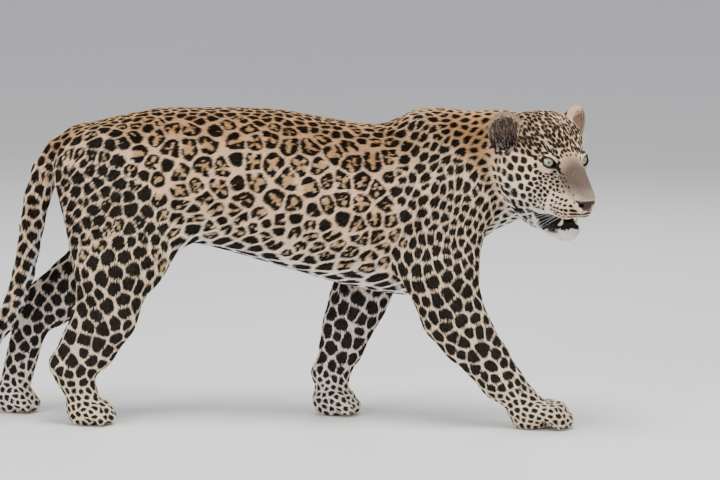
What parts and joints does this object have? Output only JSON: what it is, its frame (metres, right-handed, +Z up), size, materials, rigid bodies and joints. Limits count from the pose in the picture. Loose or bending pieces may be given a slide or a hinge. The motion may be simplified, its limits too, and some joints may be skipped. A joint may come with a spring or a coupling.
{
  "type": "leopard figure",
  "caption": "Life-size male leopard in mid-stride with its head turned to its right and its mouth slightly open, tail hanging behind the hind legs.",
  "frame": {"origin": "middle of the bounding box, on the ground under the paws", "axes": "+X ahead, from the tail to the chest; +Y to the animal's left; +Z up"},
  "size_m": [1.59, 0.4084, 0.707],
  "materials": {
    "coat": "short fur, matt",
    "nose_leather": "moist skin, satin",
    "eye": "wet, glossy",
    "tooth": "satin enamel",
    "tongue": "moist, satin"
  },
  "bodies": {
    "root": {"head": "coat", "lower_jaw": "coat", "nose": "nose_leather", "ear_left": "coat", "ear_right": "coat", "eye_left": "eye", "eye_right": "eye", "lower_canine_left": "tooth", "lower_canine_right": "tooth", "tongue": "tongue", "neck": "coat", "chest": "coat", "abdomen": "coat", "rump": "coat", "tail_root": "coat", "tail_middle": "coat", "tail_tip": "coat", "front_left_shoulder": "coat", "front_left_upper_arm": "coat", "front_left_forearm": "coat", "front_left_paw": "coat", "front_right_shoulder": "coat", "front_right_upper_arm": "coat", "front_right_forearm": "coat", "front_right_paw": "coat", "hind_left_thigh": "coat", "hind_left_shank": "coat", "hind_left_foot": "coat", "hind_right_thigh": "coat", "hind_right_shank": "coat", "hind_right_foot": "coat"}
  },
  "joints": []
}
